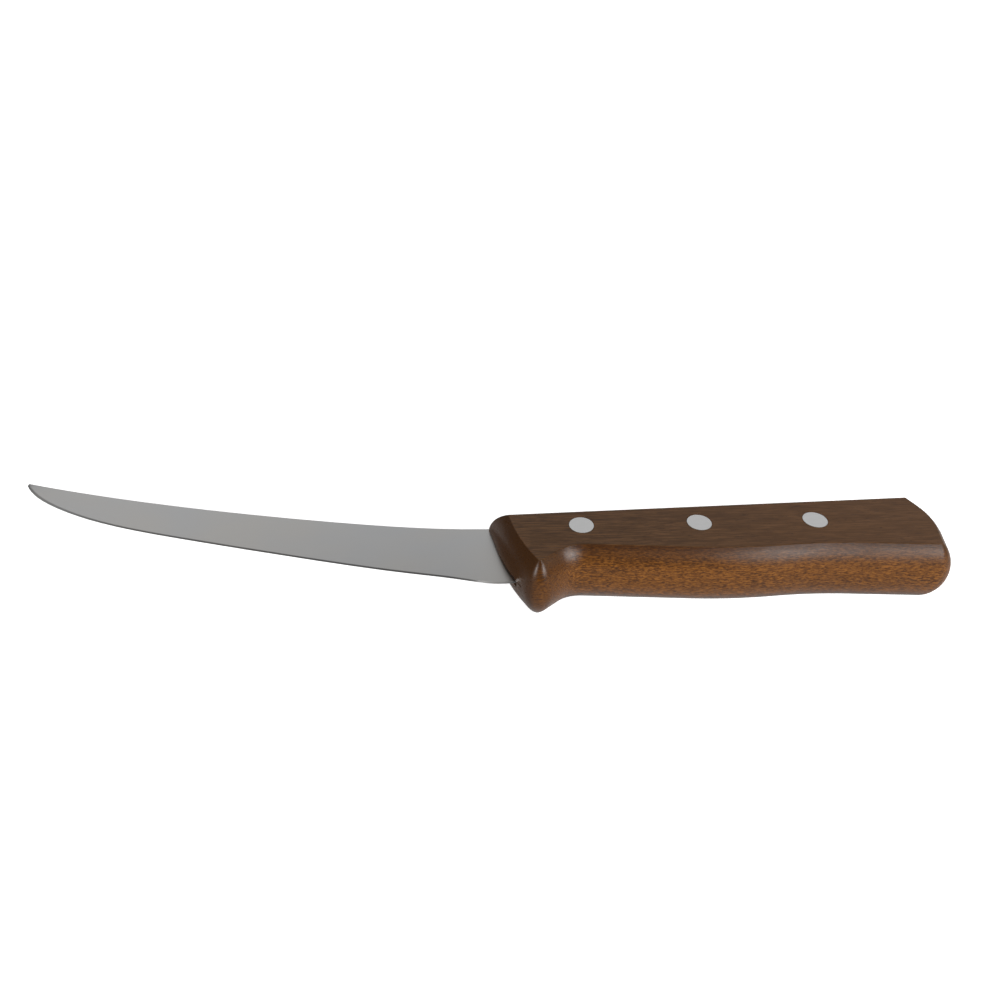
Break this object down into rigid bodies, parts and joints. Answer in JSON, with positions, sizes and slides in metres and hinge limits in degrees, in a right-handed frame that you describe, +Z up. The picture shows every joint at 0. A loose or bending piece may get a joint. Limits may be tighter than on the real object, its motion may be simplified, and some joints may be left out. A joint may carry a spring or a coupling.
{
  "type": "boning knife",
  "caption": "Curved narrow boning knife: swept-up steel blade, contoured wooden handle with finger beak, flush cutlery rivets.",
  "frame": {"origin": "centre of the bounding box, on the table the handle's lower flat side rests on", "axes": "+X from the blade's tip to the handle's butt, +Y from the cutting edge to the spine, +Z up through the thickness of the handle"},
  "size_m": [0.273, 0.0572, 0.0192],
  "materials": {
    "blade_steel": "fine satin",
    "handle_wood": "smooth, low sheen",
    "rivet_metal": "satin, sanded flush"
  },
  "bodies": {
    "root": {"blade": "blade_steel", "handle": "handle_wood", "front_rivet_barrel": "rivet_metal", "front_rivet_stud": "rivet_metal", "middle_rivet_barrel": "rivet_metal", "middle_rivet_stud": "rivet_metal", "rear_rivet_barrel": "rivet_metal", "rear_rivet_stud": "rivet_metal"}
  },
  "joints": []
}
